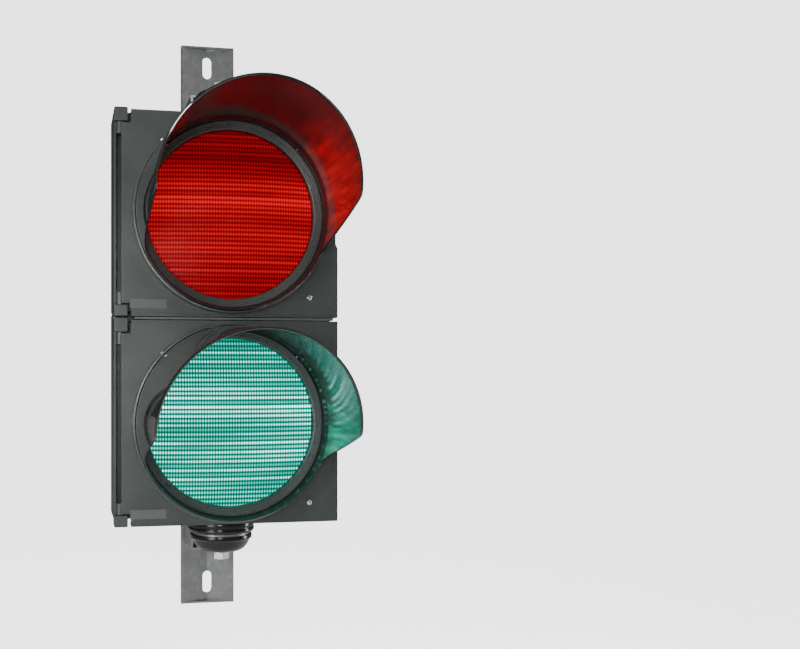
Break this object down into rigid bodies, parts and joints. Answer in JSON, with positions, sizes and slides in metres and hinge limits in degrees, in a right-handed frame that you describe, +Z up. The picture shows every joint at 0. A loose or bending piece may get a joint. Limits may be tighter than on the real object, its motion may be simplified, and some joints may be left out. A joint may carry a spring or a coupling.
{
  "type": "traffic signal head",
  "caption": "Red and green signal head, one lens above the other, with cutaway visors, hinged doors and swivel pole brackets above and below.",
  "frame": {"origin": "on the wall or pole face, on the swivel line, midway between the two bracket plates", "axes": "+X to the right of someone facing the lenses, +Z up, the lenses face -Y"},
  "size_m": [0.278, 0.392, 0.78],
  "materials": {
    "shell_plastic": "fine moulded texture",
    "door_plastic": "fine moulded texture",
    "visor_gloss": "glossy",
    "rubber": "matt",
    "cap_black": "satin",
    "bracket_steel": "galvanised, mottled",
    "zinc": "zinc plated",
    "lens_red": "ribbed, lit",
    "lens_green": "ribbed, lit",
    "inner_lens": "clear moulding",
    "board": "solder mask",
    "module_plastic": "moulded",
    "terminal_plastic": "moulded"
  },
  "bodies": {
    "brackets": {"arm_lower": "bracket_steel", "arm_upper": "bracket_steel", "pole_plate_lower": "bracket_steel", "pole_plate_upper": "bracket_steel", "swivel_bolt_lower": "zinc", "swivel_bolt_upper": "zinc", "swivel_cap_lower": "cap_black", "swivel_cap_upper": "cap_black", "swivel_nut_lower": "zinc", "swivel_nut_upper": "zinc", "swivel_washer_lower": "zinc", "swivel_washer_upper": "zinc"},
    "head": {"cable_grommet": "rubber", "coupler_nut_lower": "zinc", "coupler_nut_upper": "zinc", "hinge_pin_lower_bottom": "zinc", "hinge_pin_lower_top": "zinc", "hinge_pin_upper_bottom": "zinc", "hinge_pin_upper_top": "zinc", "rear_shell_lower": "shell_plastic", "rear_shell_upper": "shell_plastic", "section_coupler": "zinc", "swivel_collar_lower": "cap_black", "swivel_collar_upper": "cap_black", "terminal_block": "terminal_plastic"},
    "door_upper": {"door_gasket_upper": "rubber", "door_upper_panel": "door_plastic", "driver_board_upper": "board", "inner_lens_upper": "inner_lens", "lens_clip_upper_135": "zinc", "lens_clip_upper_225": "zinc", "lens_clip_upper_315": "zinc", "lens_clip_upper_45": "zinc", "lens_seal_upper": "rubber", "lens_upper": "lens_red", "light_board_upper": "board", "module_back_upper": "module_plastic", "visor_screw_upper_135": "zinc", "visor_screw_upper_45": "zinc", "visor_upper": "visor_gloss"},
    "door_lower": {"door_gasket_lower": "rubber", "door_lower_panel": "door_plastic", "driver_board_lower": "board", "inner_lens_lower": "inner_lens", "lens_clip_lower_135": "zinc", "lens_clip_lower_225": "zinc", "lens_clip_lower_315": "zinc", "lens_clip_lower_45": "zinc", "lens_lower": "lens_green", "lens_seal_lower": "rubber", "light_board_lower": "board", "module_back_lower": "module_plastic", "visor_lower": "visor_gloss", "visor_screw_lower_135": "zinc", "visor_screw_lower_45": "zinc"},
    "screw_upper_top": {"door_screw_upper_top": "zinc"},
    "screw_upper_bottom": {"door_screw_upper_bottom": "zinc"},
    "screw_lower_top": {"door_screw_lower_top": "zinc"},
    "screw_lower_bottom": {"door_screw_lower_bottom": "zinc"}
  },
  "joints": [
    {"name": "aim_swivel", "type": "hinge", "parent": "brackets", "child": "head", "pos_m": [0, -0.123, 0], "axis": [0, 0, 1], "range_deg": [-30, 30]},
    {"name": "door_upper_hinge", "type": "hinge", "parent": "head", "child": "door_upper", "pos_m": [-0.1315, -0.171, 0.127], "axis": [0, 0, -1], "range_deg": [0, 110]},
    {"name": "screw_upper_top_turn", "type": "hinge", "parent": "door_upper", "child": "screw_upper_top", "pos_m": [0.102, -0.178, 0.227], "axis": [0, -1, 0], "range_deg": [-360, 0]},
    {"name": "screw_upper_bottom_turn", "type": "hinge", "parent": "door_upper", "child": "screw_upper_bottom", "pos_m": [0.102, -0.178, 0.027], "axis": [0, -1, 0], "range_deg": [-360, 0]},
    {"name": "door_lower_hinge", "type": "hinge", "parent": "head", "child": "door_lower", "pos_m": [-0.1315, -0.171, -0.127], "axis": [0, 0, -1], "range_deg": [0, 110]},
    {"name": "screw_lower_top_turn", "type": "hinge", "parent": "door_lower", "child": "screw_lower_top", "pos_m": [0.102, -0.178, -0.027], "axis": [0, -1, 0], "range_deg": [-360, 0]},
    {"name": "screw_lower_bottom_turn", "type": "hinge", "parent": "door_lower", "child": "screw_lower_bottom", "pos_m": [0.102, -0.178, -0.227], "axis": [0, -1, 0], "range_deg": [-360, 0]}
  ]
}
